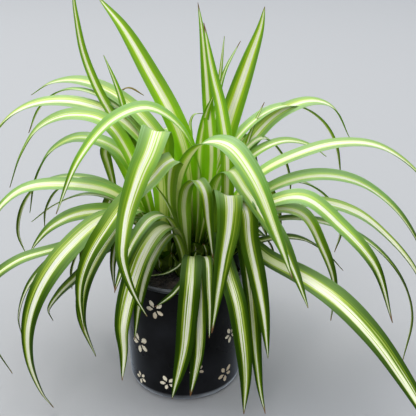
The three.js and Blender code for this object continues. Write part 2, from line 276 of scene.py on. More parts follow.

# %% [markdown]
# ## The pot's finish
# The real pot is thin metal under dark charcoal enamel, satin rather than glossy, with faint
# cloudy wear. A plain dark colour would look like plastic, so a soft noise changes the colour and
# the roughness a little, and a finer noise makes the faint orange peel of sprayed paint. A painted
# highlight stands for the reflection that the round of the foot catches: the height on the pot
# brings a paler colour in along that round, stronger at the pot's sides than at its front and back,
# and a fainter painted highlight at the rim, both broken up by the same soft noise. A mirror-like
# gloss would show the floor in the wall. A bluish sheen is used instead, which only lights the
# sides where the wall turns away.

# %% Pot sizes
POT_HEIGHT = 113 * MM
POT_BASE_RADIUS = 50 * MM
POT_RIM_RADIUS = 52.2 * MM
POT_WALL = 1.3 * MM
POT_FOOT_ROUND = 7 * MM
OUTER_FOOT_STEPS = 10
INNER_FOOT_STEPS = 8
BEAD_RADIUS = 1.7 * MM
BEAD_STEPS = 24
POT_SPIN_STEPS = 120

# %% Pot finish
ENAMEL_DARK = (0.0032, 0.0032, 0.0034)
ENAMEL_WORN = (0.009, 0.0095, 0.011)
ENAMEL_ROUGHNESS = (0.24, 0.36)
ENAMEL_SHEEN = (0.75, 0.85, 1.0)
CLOUD_SCALE = 28.0
PEEL_SCALE = 900.0
PEEL_DEPTH = 0.1 * MM
# The foot's painted highlight, which stands for a reflection in its round, comes in above the flat
# underside and fades out above the round, and it is stronger at the pot's sides than at its front
# and back. The rim's painted highlight is faint.
PAINTED_EDGE_HIGHLIGHT = (0.47, 0.50, 0.53)
FOOT_HIGHLIGHT_IN = (1.2 * MM, 2.8 * MM)
FOOT_HIGHLIGHT_OUT = (8.0 * MM, 4.5 * MM)
FOOT_HIGHLIGHT_ASIDE = (12.0 * MM, 40.0 * MM)
FOOT_HIGHLIGHT_SHARE = 0.9
FOOT_HIGHLIGHT_FRONT = 0.35
RIM_HIGHLIGHT_IN = (POT_HEIGHT - 3.0 * MM, POT_HEIGHT - 0.5 * MM)
RIM_HIGHLIGHT_SHARE = 0.12


def pot_enamel():
    finish, tree, shader = start_finish("charcoal_enamel")
    place = add(tree, "TexCoord").outputs["Object"]
    clouds = noise(tree, place, CLOUD_SCALE, 5.0)
    cloud = scale_to(tree, clouds, 0.45, 0.75)
    aside, _, height = add(tree, "SeparateXYZ", {0: place}).outputs
    # Painted highlight: reflection in the foot's round, stronger at the sides, faint at the rim.
    foot = product(
        tree, scale_to(tree, height, *FOOT_HIGHLIGHT_OUT, 0.0, FOOT_HIGHLIGHT_SHARE),
        scale_to(tree, sums(tree, "ABSOLUTE", aside), *FOOT_HIGHLIGHT_ASIDE, FOOT_HIGHLIGHT_FRONT, 1.0),
        scale_to(tree, height, *FOOT_HIGHLIGHT_IN),
    )
    rim = scale_to(tree, height, *RIM_HIGHLIGHT_IN, 0.0, RIM_HIGHLIGHT_SHARE)
    # The painted highlight, broken up by the clouds.
    edge = product(tree, sums(tree, "ADD", foot, rim), scale_to(tree, cloud, 0.0, 0.6, 0.5, 1.0))
    colour = mix(tree, cloud, ENAMEL_DARK, ENAMEL_WORN)
    feed(tree, shader, {
        "Base Color": mix(tree, edge, colour, PAINTED_EDGE_HIGHLIGHT),
        "Roughness": scale_to(tree, clouds, 0.3, 0.7, *ENAMEL_ROUGHNESS),
        "Normal": relief(tree, noise(tree, place, PEEL_SCALE, 2.0), 0.25, PEEL_DEPTH),
        "Specular IOR Level": 0.05, "Sheen Weight": 0.45, "Sheen Roughness": 0.28,
        "Sheen Tint": ENAMEL_SHEEN,
    })
    return finish


enamel = pot_enamel()

# %% [markdown]
# ## The pot
# A pressed metal pot is turned about one axis, so its wall is a profile spun round. It could also
# be a cylinder with insets, but the rolled rim and the rounded foot are easier to draw in profile:
# a small circle for the rim's bead, two walls extruded down from its open underside, and the two
# foot corners rounded with a vertex bevel.

# %% Pot profile helpers
SAME_PLACE = 0.001 * MM


def pot_radius(z):
    """Outside radius of the leaning wall at a height."""
    return POT_BASE_RADIUS + (POT_RIM_RADIUS - POT_BASE_RADIUS) * z / POT_HEIGHT


def extrude_to(piece, start, *points):
    """Extrudes a chain of vertices from the vertex nearest to start to each point in turn."""
    leave_edit()
    end = min(piece.data.vertices, key=lambda vertex: (vertex.co - start).length).co.copy()
    bpy.ops.object.mode_set(mode="EDIT")
    choose(piece, lambda co: (co - end).length < SAME_PLACE)
    for point in points:
        bpy.ops.mesh.extrude_region_move(TRANSFORM_OT_translate={"value": point - end})
        end = point


def round_corner(piece, corner, size, segments):
    """Rounds one corner of a profile with a vertex bevel."""
    choose(piece, lambda co: (co - corner).length < SAME_PLACE)
    bpy.ops.mesh.bevel(offset=size, segments=segments, affect="VERTICES", offset_type="OFFSET")


def make_pot():
    bead_z = POT_HEIGHT - BEAD_RADIUS
    bead = Vector((pot_radius(bead_z), 0, bead_z))
    clear_selection()
    bpy.ops.mesh.primitive_circle_add(
        vertices=BEAD_STEPS, radius=BEAD_RADIUS, location=bead, rotation=(math.radians(90), 0, 0)
    )
    pot = bpy.context.object
    bake_place(pot)
    edit(pot)
    # The bead opens underneath, between the two walls.
    choose(pot, lambda co: co.z < bead.z - 0.8 * BEAD_RADIUS and -POT_WALL < co.x - bead.x + 0.2 * MM < 0)
    bpy.ops.mesh.delete(type="VERT")
    outer_corner = Vector((POT_BASE_RADIUS, 0, 0))
    inner_corner = Vector((POT_BASE_RADIUS - POT_WALL, 0, POT_WALL))
    under_bead = bead - Vector((0, 0, BEAD_RADIUS))
    extrude_to(pot, under_bead, outer_corner, Vector((0, 0, 0)))
    extrude_to(pot, under_bead - Vector((POT_WALL, 0, 0)), inner_corner, Vector((0, 0, POT_WALL)))
    round_corner(pot, outer_corner, POT_FOOT_ROUND, OUTER_FOOT_STEPS)
    round_corner(pot, inner_corner, POT_FOOT_ROUND - POT_WALL, INNER_FOOT_STEPS)
    choose_all()
    bpy.ops.mesh.spin(steps=POT_SPIN_STEPS, angle=math.tau, center=(0, 0, 0), axis=(0, 0, 1))
    choose_all()
    bpy.ops.mesh.remove_doubles(threshold=0.01 * MM)
    bpy.ops.mesh.normals_make_consistent(inside=False)
    leave_edit()
    return join([pot], "enamel_pot")


pot = make_pot()
pot.data.materials.append(enamel)
hand_over(pot, "pot")

# %% [markdown]
# ## The printed flowers
# Small cream flowers with five petals are printed on the enamel. They could be painted by the
# pot's own material, but a print has crisp edges and its own worn, matt surface, so each petal is
# a very thin solid: one petal is modelled flat, and every copy is laid on the pot's round wall.
# Seven flowers stand where the photo shows them. The rest of the wall, which the photo doesn't
# show, has the same flower on a staggered grid. A fine grain wears the cream paint, and a slow
# noise fades whole flowers more than others.

# %% Print finish
PRINT_CREAM = (0.55, 0.50, 0.38)
PRINT_WORN = (0.36, 0.29, 0.20)
GRAIN_SCALE = 420.0
FADE_SCALE = 26.0


def print_paint():
    finish, tree, shader = start_finish("cream_print")
    place = add(tree, "TexCoord").outputs["Object"]
    grain = scale_to(tree, noise(tree, place, GRAIN_SCALE, 6.0), 0.48, 0.72)
    fade = scale_to(tree, noise(tree, place, FADE_SCALE, 1.0), 0.5, 0.65)
    worn = sums(tree, "ADD", grain, fade, clamp=True)
    feed(tree, shader, {"Base Color": mix(tree, worn, PRINT_CREAM, PRINT_WORN), "Roughness": 0.62})
    return finish


# %% One petal, then every flower
PETAL_LENGTH = 5.4 * MM
PETAL_WIDTH = 3.2 * MM
PETAL_FROM_CENTRE = 4.5 * MM
PETAL_THICKNESS = 0.25 * MM
PETAL_SINK = 0.1 * MM
PETAL_EDGE = 0.5 * MM
PETAL_NARROW = 0.55
PETALS = 5
FIRST_PETAL_TURN = -98
TURN_SPREAD = 7
SIZE_SPREAD = (0.9, 1.1)
FLOWER_SEED = 4
# Azimuth in degrees from +X and height in mm of the flowers that the photo shows, and their scale.
SEEN_FLOWERS = [
    (-115.6, 91.8, 1.15), (-137.0, 51.1, 1.35), (-138.7, 14.0, 0.85), (-105.8, 19.1, 1.0),
    (-38.0, 57.6, 1.05), (-76.5, 33.0, 0.9), (-44.4, 19.8, 1.1),
]
# The rest of the wall: the azimuth of each column and which heights in mm its flowers stand at.
HIDDEN_COLUMNS = [(-12, 0), (20, 1), (52, 0), (84, 1), (116, 0), (148, 1), (180, 0)]
HIDDEN_HEIGHTS = {0: (35.0, 74.0), 1: (16.0, 54.0, 93.0)}


def make_petal():
    """A flat teardrop in the plane of x and y, its narrow end towards the flower's centre."""
    clear_selection()
    bpy.ops.mesh.primitive_circle_add(vertices=20, radius=0.5, fill_type="NGON")
    petal = bpy.context.object
    edit(petal)
    choose(petal, lambda co: co.x < -0.2)
    bpy.ops.transform.resize(value=(1.0, PETAL_NARROW, 1.0))
    choose_all()
    bpy.ops.transform.resize(value=(PETAL_LENGTH, PETAL_WIDTH, 1.0))
    bpy.ops.transform.translate(value=(PETAL_FROM_CENTRE, 0, PETAL_THICKNESS - PETAL_SINK))
    bpy.ops.mesh.inset(thickness=PETAL_EDGE)
    choose_all()
    bpy.ops.mesh.extrude_region_move(TRANSFORM_OT_translate={"value": (0, 0, -PETAL_THICKNESS)})
    choose_all()
    bpy.ops.mesh.normals_make_consistent(inside=False)
    leave_edit()
    return petal


def lay_petal(petal, azimuth, height, turn, scale):
    """A copy of the petal, turned in the flower and wrapped on the wall."""
    copy = copy_of(petal)
    cos, sin = math.cos(math.radians(turn)), math.sin(math.radians(turn))
    for vertex in copy.data.vertices:
        x, y, lift = vertex.co
        across, up = scale * (x * cos - y * sin), scale * (x * sin + y * cos)
        z = height + up
        radius = pot_radius(z) + lift
        angle = math.radians(azimuth) + across / pot_radius(z)
        vertex.co = (radius * math.cos(angle), radius * math.sin(angle), z)
    return copy


def make_flowers():
    petal = make_petal()
    draw = random.Random(FLOWER_SEED)
    hidden = [
        (azimuth, height, draw.uniform(*SIZE_SPREAD))
        for azimuth, row in HIDDEN_COLUMNS for height in HIDDEN_HEIGHTS[row]
    ]
    petals = []
    for azimuth, height, scale in SEEN_FLOWERS + hidden:
        for index in range(PETALS):
            turn = FIRST_PETAL_TURN + 360 * index / PETALS + draw.uniform(-TURN_SPREAD, TURN_SPREAD)
            size = scale * draw.uniform(*SIZE_SPREAD)
            petals.append(lay_petal(petal, azimuth, height * MM, turn, size))
    bpy.data.objects.remove(petal)
    return join(petals, "printed_flowers")


flowers = make_flowers()
flowers.data.materials.append(print_paint())
hand_over(flowers, "pot", angle=20)

# %% [markdown]
# ## The soil
# Dark, damp potting mix fills the pot to about 14 mm below the rim. Its top is lumpy: a plug with
# a finely divided top takes a displace modifier for the lumps, and crumbs of several sizes lie on
# it. The crumbs are one small rough stone, modelled once and copied to places drawn with a fixed
# seed. The four crowns stand in plain holes, cut with a Boolean.

# %% Soil finish
SOIL_DARK = (0.006, 0.0045, 0.0035)
SOIL_LIGHT = (0.042, 0.030, 0.020)
CLOD_SCALE = 160.0
FIBRE_SCALE = 520.0
SOIL_RELIEF = 0.8 * MM


def potting_mix():
    finish, tree, shader = start_finish("potting_mix")
    place = add(tree, "TexCoord").outputs["Object"]
    clods = noise(tree, place, CLOD_SCALE, 8.0)
    fibres = add(tree, "TexVoronoi", {"Vector": place, "Scale": FIBRE_SCALE})
    rough = sums(tree, "ADD", clods, fibres.outputs["Distance"])
    feed(tree, shader, {
        "Base Color": mix(tree, scale_to(tree, clods, 0.4, 0.75), SOIL_DARK, SOIL_LIGHT),
        "Normal": relief(tree, rough, 0.8, SOIL_RELIEF), "Roughness": 0.92,
    })
    return finish


# %% Soil body and crumbs
FIT_GAP = 0.3 * MM
SOIL_FLOOR = POT_WALL + FIT_GAP
SOIL_TOP = 99 * MM
LEVEL_SLACK = 0.1 * MM
SOIL_SIDES = 72
TOP_RINGS = 22
TOP_RING_WIDTH = 2.15 * MM
LUMP_SIZE = 9 * MM
LUMP_HEIGHT = 3.2 * MM
# At the wall the lumps have this share of their height, and they are full this far in or further.
WALL_LUMPS = 0.25
FULL_LUMPS = 6 * MM
CROWNS = {"front": (3, -2), "left": (-18, 12), "right": (28, 6), "back": (10, 30)}
CROWN_FOOT = 100 * MM
CROWN_RADIUS = 8 * MM
CROWN_DEPTH = 12 * MM
CROWN_RISE = 16 * MM
CRUMBS = 420
CRUMB_SIZES = (1.0, 2.2)
CRUMB_SEED = 11
CRUMB_MARGIN = 3.2 * MM
DROP_HEIGHT = 20 * MM


def soil_radius(z):
    """Radius of the filling at a height."""
    return pot_radius(z) - POT_WALL - FIT_GAP


def make_plug():
    """A plug that fills the pot, round at its foot, with a top divided into fine rings."""
    clear_selection()
    bpy.ops.mesh.primitive_cone_add(
        vertices=SOIL_SIDES, end_fill_type="NGON",
        radius1=soil_radius(SOIL_FLOOR), radius2=soil_radius(SOIL_TOP),
        depth=SOIL_TOP - SOIL_FLOOR, location=(0, 0, (SOIL_TOP + SOIL_FLOOR) / 2),
    )
    plug = bpy.context.object
    bake_place(plug)
    edit(plug)
    choose(plug, lambda co: co.z < SOIL_FLOOR + LEVEL_SLACK)
    bpy.ops.mesh.bevel(offset=POT_FOOT_ROUND, segments=6, affect="EDGES")
    edit(plug, "FACE")
    choose(plug, lambda co: co.z > SOIL_TOP - LEVEL_SLACK, "FACE")
    for _ in range(TOP_RINGS):
        bpy.ops.mesh.inset(thickness=TOP_RING_WIDTH)
    leave_edit()
    return plug


def make_soil_body():
    """The plug with a lumpy top and a hole for each crown."""
    soil = make_plug()
    group = soil.vertex_groups.new(name="top")
    for vertex in soil.data.vertices:
        if vertex.co.z > SOIL_TOP - LEVEL_SLACK:
            inside = soil_radius(SOIL_TOP) - math.hypot(vertex.co.x, vertex.co.y)
            group.add([vertex.index], min(1.0, WALL_LUMPS + inside / FULL_LUMPS), "REPLACE")
    lumps = bpy.data.textures.new("lumps", "CLOUDS")
    lumps.noise_scale = LUMP_SIZE
    lumps.noise_depth = 3
    apply_modifier(
        soil, "DISPLACE", texture=lumps, texture_coords="GLOBAL", direction="Z",
        strength=LUMP_HEIGHT, mid_level=0.5, vertex_group="top",
    )
    for x, y in CROWNS.values():
        clear_selection()
        bpy.ops.mesh.primitive_cylinder_add(
            vertices=32, radius=CROWN_RADIUS + FIT_GAP, depth=2 * CROWN_DEPTH,
            location=(x * MM, y * MM, CROWN_FOOT - FIT_GAP),
        )
        hole = bpy.context.object
        bake_place(hole)
        apply_modifier(soil, "BOOLEAN", object=hole, operation="DIFFERENCE", solver="EXACT")
        bpy.data.objects.remove(hole)
    return soil


def make_crumb():
    """One rough crumb, about 1 across before it is scaled."""
    clear_selection()
    bpy.ops.mesh.primitive_ico_sphere_add(subdivisions=2, radius=0.5)
    crumb = bpy.context.object
    rough = bpy.data.textures.new("crumb_rough", "CLOUDS")
    rough.noise_scale = 0.45
    apply_modifier(crumb, "DISPLACE", texture=rough, texture_coords="GLOBAL", strength=0.5)
    return crumb


def scatter_crumbs(soil):
    """Crumbs on the soil's top, clear of the crowns and of the wall."""
    crumb = make_crumb()
    draw = random.Random(CRUMB_SEED)
    reach = pot_radius(SOIL_TOP) - POT_WALL - CRUMB_MARGIN
    copies = []
    while len(copies) < CRUMBS:
        x, y = draw.uniform(-reach, reach), draw.uniform(-reach, reach)
        size = draw.uniform(*CRUMB_SIZES) ** 2 * MM
        clear = min(math.hypot(x - cx * MM, y - cy * MM) for cx, cy in CROWNS.values())
        if math.hypot(x, y) > reach or clear < CROWN_RADIUS + size / 2:
            continue
        above = Vector((x, y, SOIL_TOP + DROP_HEIGHT))
        point = soil.ray_cast(above, Vector((0, 0, -1)))[1]
        copy = copy_of(crumb)
        turn = Quaternion((draw.random(), draw.random(), draw.random()), draw.uniform(0, math.tau))
        stretch = Vector((1.0, draw.uniform(0.6, 1.0), draw.uniform(0.5, 0.9)))
        for vertex in copy.data.vertices:
            vertex.co = turn @ (vertex.co * stretch * size) + point + Vector((0, 0, 0.15 * size))
        copies.append(copy)
    bpy.data.objects.remove(crumb)
    return copies


soil_body = make_soil_body()
soil = join([soil_body, *scatter_crumbs(soil_body)], "potting_soil")
soil.data.materials.append(potting_mix())
hand_over(soil, "soil", angle=60)

# %% [markdown]
# ## The leaf finish
# A leaf has a cream stripe down its middle, a narrow yellow-green band on each side of it, and
# green margins that darken towards the edge, all drawn out in fine lines along the leaf. The
# pattern has to bend with the blade, so it reads the blade's own map, which runs along the leaf in
# u and across it in v. Light passes through a thin leaf, so the shader mixes in some translucency.
# Each blade carries three numbers of its own as an attribute: how pale it is, which sets how much
# painted light it gets, how wide its stripe is and a seed, so that no two leaves look alike from one
# material.
#
# The green also changes along a leaf, and this is painted light and shade. Where it lies open to the
# sky, at the top of its arch, it is painted pale, with a painted sheen for the sky's reflection on its
# upper face, and where it hangs or is crowded by others it is painted deep green as shade. One ramp
# of colours could not give both, so there is a sunny ramp and a shady one, mixed by the leaf's
# paleness, the height, the distance from the pot's middle and a fourth number, stored at every
# vertex, for how much the blade's upper face looks at the sky. The leaves that stand behind get a
# painted touch of lime for the light that comes through them, and the tips are dry.

# %% Leaf colours and measures
LEAF_MAP = "leaf_map"
LEAF_TRAITS = "leaf_traits"
LEAF_SKY = "leaf_sky"
WHITE_STRIPE = (0.78, 0.77, 0.70)
SUNNY_STOPS = [
    (0.00, WHITE_STRIPE), (0.19, (0.79, 0.79, 0.56)), (0.25, (0.60, 0.69, 0.12)),
    (0.38, (0.39, 0.57, 0.018)), (0.54, (0.21, 0.41, 0.007)), (0.88, (0.125, 0.30, 0.007)),
    (1.00, (0.155, 0.345, 0.02)),
]
SHADY_STOPS = [
    (0.00, (0.80, 0.80, 0.71)), (0.19, (0.78, 0.78, 0.57)), (0.25, (0.34, 0.44, 0.04)),
    (0.38, (0.085, 0.16, 0.004)), (0.55, (0.021, 0.056, 0.0015)), (0.90, (0.011, 0.030, 0.0015)),
    (1.00, (0.017, 0.043, 0.0025)),
]
# Where the stripe ends on the ramps, and the part of them over which a leaf turns green.
STRIPE_END = 0.24
GREEN_FROM = (0.22, 0.40)
# The stripe's middle lies near the leaf's: at this share of the width, and up to so much further,
# drifting slowly along the leaf. One side of the pattern may be broader than the other.
STRIPE_MIDDLE = 0.39
MIDDLE_SPREAD = 0.12
MIDDLE_DRIFT = 0.10
UNEVEN_SIDES = 0.9
# How fine the lines and the veins are along and across a blade, and the middle range of a noise.
LINE_DENSITY = (2.2, 17.0)
VEIN_DENSITY = (7.0, 120.0)
DRIFT_DENSITY = 5.0
SEED_SHIFT = 37.0
NOISE_RANGE = (0.3, 0.7)
LINE_SHARE = 0.16
VEIN_RELIEF = 0.25 * MM
WARM_TINT = (1.15, 1.02, 0.40)
COOL_TINT = (0.86, 0.97, 1.20)
# A leaf's foot is yellower; where its painted light is low the foot takes the shaded tint, painted shade.
YOUNG_TINT = (1.0, 1.0, 0.20)
YOUNG_SHADED_TINT = (0.55, 0.72, 0.14)
YOUNG_LENGTHS = (0.10, 0.45)
# The tip dries from about this share of the length on, and sooner on a leaf with a large seed.
DRY_TIP = (0.17, 0.09, 0.04)
DRY_FROM = 1.025
DRY_SPREAD = 0.05
DRY_EDGE = 0.02


# %% The pattern across a leaf
def chance(tree, seed, factor):
    """Another number from 0 to 1 made from a leaf's seed."""
    return sums(tree, "FRACT", product(tree, seed, factor))


def streaks(tree, along, across, seed, density, detail):
    """Noise drawn out along the leaf."""
    along, across = product(tree, along, density[0]), product(tree, across, density[1])
    place = add(tree, "CombineXYZ", {0: along, 1: across, 2: product(tree, seed, SEED_SHIFT)})
    return noise(tree, place.outputs[0], 1.0, detail)


def ramp_place(tree, along, across, stripe, seed, line):
    """Where a place lies on the ramps: 0 in the middle of the stripe, 1 at the leaf's edge."""
    slow = {0: product(tree, along, DRIFT_DENSITY), 1: product(tree, seed, SEED_SHIFT)}
    drift = noise(tree, add(tree, "CombineXYZ", slow).outputs[0], 1.0, 3.0)
    middle = sums(tree, "ADD", STRIPE_MIDDLE, product(tree, chance(tree, seed, 3.1), MIDDLE_SPREAD))
    middle = sums(tree, "ADD", middle, product(tree, drift, MIDDLE_DRIFT))
    aside = sums(tree, "SUBTRACT", across, middle)
    lean = sums(tree, "SUBTRACT", chance(tree, seed, 7.3), 0.5)
    lean = product(tree, sums(tree, "SIGN", aside), lean, UNEVEN_SIDES)
    off = product(tree, sums(tree, "ABSOLUTE", aside), sums(tree, "ADD", 2.0, lean))
    off = sums(tree, "ADD", off, scale_to(tree, line, *NOISE_RANGE, -LINE_SHARE, LINE_SHARE))
    in_stripe = scale_to(tree, off, 0.0, stripe, 0.0, STRIPE_END)
    past_stripe = scale_to(tree, off, stripe, 1.0, STRIPE_END, 1.0)
    within = sums(tree, "LESS_THAN", off, stripe)
    place = add(tree, "Mix", {0: within, 2: past_stripe, 3: in_stripe}).outputs[0]
    return sums(tree, "ADD", place, scale_to(tree, line, 0.52, 0.68, 0.0, LINE_SHARE))


def dry_share(tree, along, seed):
    """How dry the leaf is at a share of its length."""
    end = sums(tree, "SUBTRACT", DRY_FROM, product(tree, seed, DRY_SPREAD))
    return scale_to(tree, along, sums(tree, "SUBTRACT", end, DRY_EDGE), end)


# %% Light and shade on the leaves
# Painted light and shade: a leaf is paler high up and where it faces the sky, and darker where it
# hangs or is crowded.
LIGHT_HEIGHTS = (120 * MM, 230 * MM)
LIGHT_FACING = (0.30, 0.95)
LOW_HEIGHTS = (20 * MM, 130 * MM)
CROWDED_REACH = (70 * MM, 130 * MM)
CROWDED_SHARE = 0.3
LIGHT_FALL = 1.6
DEEPEST_SHADE = 0.08
# The green is livelier in the leaves that stand behind, at the heights where light comes through.
INNER_LIME = (0.38, 0.78, 0.012)
INNER_STRIPE = (0.90, 0.95, 0.30)
INNER_DEPTH = (-25 * MM, 20 * MM)
INNER_REACH = (95 * MM, 45 * MM)
INNER_FROM = (115 * MM, 160 * MM)
INNER_TO = (260 * MM, 190 * MM)
INNER_SHARE = 0.7
# The upper face gets a painted sheen for the sky's reflection where it faces the sky, and the
# underside is paler all over.
PAINTED_SKY_SHEEN = (0.45, 0.565, 0.37)
PAINTED_SHEEN_FACING = (0.45, 0.95)
PAINTED_SHEEN_SHARE = 0.45
UNDERSIDE_BLOOM = (0.44, 0.62, 0.10)
UNDERSIDE_SHARE = 0.15


def light_share(tree, sky, height, reach):
    """How much light falls on a place of a leaf, from the deepest shade to 1."""
    facing = product(
        tree, scale_to(tree, sky, *LIGHT_FACING),
        scale_to(tree, reach, *CROWDED_REACH, CROWDED_SHARE, 1.0),
        scale_to(tree, height, *LOW_HEIGHTS, CROWDED_SHARE, 1.0),
    )
    light = sums(tree, "ADD", scale_to(tree, height, *LIGHT_HEIGHTS), facing, clamp=True)
    return scale_to(tree, sums(tree, "POWER", light, LIGHT_FALL), 0.0, 1.0, DEEPEST_SHADE, 1.0)


def behind_share(tree, green, depth, height, reach):
    """How much lime a place on a leaf has from the light behind it."""
    return product(
        tree, scale_to(tree, height, *INNER_FROM), scale_to(tree, height, *INNER_TO),
        scale_to(tree, depth, *INNER_DEPTH), scale_to(tree, reach, *INNER_REACH, 0.0, INNER_SHARE),
        scale_to(tree, green, 0.0, 1.0, 0.7, 1.0),
    )


def painted_sheen_share(tree, sky, pale, green, line):
    """How much painted sky sheen a place on a leaf's upper face has."""
    return product(
        tree, scale_to(tree, sky, *PAINTED_SHEEN_FACING, 0.0, PAINTED_SHEEN_SHARE), pale,
        scale_to(tree, green, 0.0, 1.0, 0.3, 1.0), scale_to(tree, line, *NOISE_RANGE, 0.7, 1.2),
    )


# %% The whole leaf finish
SHADY_GLOSS = 0.02
GLOW_TINT = (1.0, 0.96, 0.22)
GLOW_STRIPE = (1.0, 0.98, 0.85)
GLOW_SHARE = 0.44


def leaf_finish(name, roughness, gloss, underside=False):
    finish, tree, shader = start_finish(name)
    blade_map = add(tree, "UVMap", uv_map=LEAF_MAP).outputs[0]
    along, across, _ = add(tree, "SeparateXYZ", {0: blade_map}).outputs
    traits = add(tree, "Attribute", attribute_name=LEAF_TRAITS).outputs["Vector"]
    pale, stripe, seed = add(tree, "SeparateXYZ", {0: traits}).outputs
    sky = add(tree, "Attribute", attribute_name=LEAF_SKY).outputs["Fac"]
    spot = add(tree, "TexCoord").outputs["Object"]
    _, depth, height = add(tree, "SeparateXYZ", {0: spot}).outputs
    flat = add(tree, "VectorMath", {0: spot, 1: (1.0, 1.0, 0.0)}, operation="MULTIPLY")
    reach = add(tree, "VectorMath", {0: flat.outputs[0]}, operation="LENGTH").outputs["Value"]

    line = streaks(tree, along, across, seed, LINE_DENSITY, 4.0)
    vein = streaks(tree, along, across, seed, VEIN_DENSITY, 2.0)
    place = ramp_place(tree, along, across, stripe, seed, line)
    green = scale_to(tree, place, *GREEN_FROM)
    # Painted light and shade: paleness times the light here picks between shady and sunny colours.
    pale = sums(tree, "MULTIPLY", pale, light_share(tree, sky, height, reach), clamp=True)

    colour = mix(tree, pale, ramp(tree, place, SHADY_STOPS), ramp(tree, place, SUNNY_STOPS))
    tint = mix(tree, chance(tree, seed, 5.7), COOL_TINT, WARM_TINT)
    colour = mix(tree, product(tree, green, pale), colour, tint, "MULTIPLY")
    fine = scale_to(tree, vein, 0.35, 0.65, 0.84, 1.10)
    fine = product(tree, fine, scale_to(tree, line, *NOISE_RANGE, 0.82, 1.14))
    grey = add(tree, "CombineXYZ", {0: fine, 1: fine, 2: fine}).outputs[0]
    colour = mix(tree, 1.0, colour, grey, "MULTIPLY")
    # Yellower towards the foot, and darker there as painted shade where the painted light is low.
    young = scale_to(tree, along, *YOUNG_LENGTHS, 1.0, 0.0)
    colour = mix(tree, young, colour, mix(tree, pale, YOUNG_SHADED_TINT, YOUNG_TINT), "MULTIPLY")
    behind = behind_share(tree, green, depth, height, reach)
    colour = mix(tree, behind, colour, mix(tree, green, INNER_STRIPE, INNER_LIME))
    colour = mix(tree, dry_share(tree, along, seed), colour, DRY_TIP)
    if underside:
        colour = mix(tree, UNDERSIDE_SHARE, colour, UNDERSIDE_BLOOM)
    else:
        # Painted sheen for the sky's reflection on the upper face.
        colour = mix(tree, painted_sheen_share(tree, sky, pale, green, line), colour, PAINTED_SKY_SHEEN)

    normal = relief(tree, sums(tree, "ADD", vein, line), 0.35, VEIN_RELIEF)
    feed(tree, shader, {
        "Base Color": colour, "Normal": normal, "Roughness": roughness,
        "Specular IOR Level": scale_to(tree, pale, 0.0, 1.0, SHADY_GLOSS, gloss),
    })
    glow = mix(tree, 1.0, colour, mix(tree, green, GLOW_STRIPE, GLOW_TINT), "MULTIPLY")
    through = add(tree, "BsdfTranslucent", {"Color": glow, "Normal": normal})
    both = add(tree, "MixShader", {0: GLOW_SHARE, 1: shader.outputs[0], 2: through.outputs[0]})
    feed(tree, tree.nodes["Material Output"], {"Surface": both.outputs[0]})
    return finish


upper_face = leaf_finish("leaf_upper", roughness=0.34, gloss=0.20)
under_face = leaf_finish("leaf_under", roughness=0.45, gloss=0.08, underside=True)
print("leaf finish with", len(upper_face.node_tree.nodes), "nodes")

# %% [markdown]
# ## The leaves' courses
# Every leaf starts at its crown, leans out in one compass direction and follows a smooth course
# through a few given points. A Bezier curve with a curve modifier could carry a blade, but it
# stretches and twists on sharp folds. Here the courses are the CAD model's own, with its curve
# rule, so that the leaves stand exactly where the solids do.

# %% Leaf table
# Each row: heading in degrees from +X towards +Y, roll in degrees, width in mm, and the course as
# [out, rise] or [out, rise, side] in mm from the crown's foot. The last point is the tip. A last
# number, where there is one, is the taper of a leaf that narrows sooner than the others.
LEAVES = {}
LEAVES["front"] = [
    [225, -15, 17, [
        [5, 30, -2], [13, 60, -2], [19, 86, 2], [22, 105, 8], [24, 118, 14],
        [35, 116, 13], [48, 106, 11], [71, 91, 6], [86, 74, 2], [97, 55, -4],
        [104, 35, -8], [106, 16, -10], [104, -14, -10],
    ]],
    [235, -8, 18, [[6, 28], [18, 54], [38, 59], [60, 46], [78, 18], [87, -8], [87, -33], [90, -57]]],
    [239, 0, 12, [[9, 30], [22, 50], [36, 49], [56, 36], [70, 12], [79, -22]]],
    [229, -5, 13, [[8, 35], [24, 65], [42, 69], [63, 55], [77, 33], [84, 19]]],
    [270, 0, 17, [
        [10, 17, 3], [22, 31, 5], [38, 34, 5], [57, 22, 4], [63, 0, 2], [66, -36, -2], [67, -81, -12],
    ]],
    [270, 5, 14, [
        [10, 14, 5], [22, 24, 8], [37, 26, 9], [54, 15, 10], [59, 0, 10], [60, -40, 9], [60, -84, 3],
    ]],
    [270, 0, 9, [[10, 17, 9], [24, 31, 14], [38, 35, 17], [54, 22, 18], [62, 0, 19], [64, -23, 19]]],
    [300, 0, 13, [[-2, 40], [-4, 66], [1, 82], [10, 91], [20, 96], [32, 90], [38, 66], [44, 36]]],
    [215, 0, 5, [[4, 16, 2], [15, 15, 7], [28, 14, 9], [43, 15, 6]]],
    [250, 0, 6, [[12, 17, 3], [29, 20, 11], [44, 19, 13], [55, 13, 9], [58, 6, 2], [56, -2, -6]]],
    [225, 0, 6, [[6, 34, 2], [17, 58, 5], [32, 84, 10], [47, 104, 13]]],
    [314, 10, 21, [
        [-12, 40], [-14, 70], [-2, 104], [20, 127], [49, 131], [75, 112], [102, 69], [116, 43],
    ]],
]
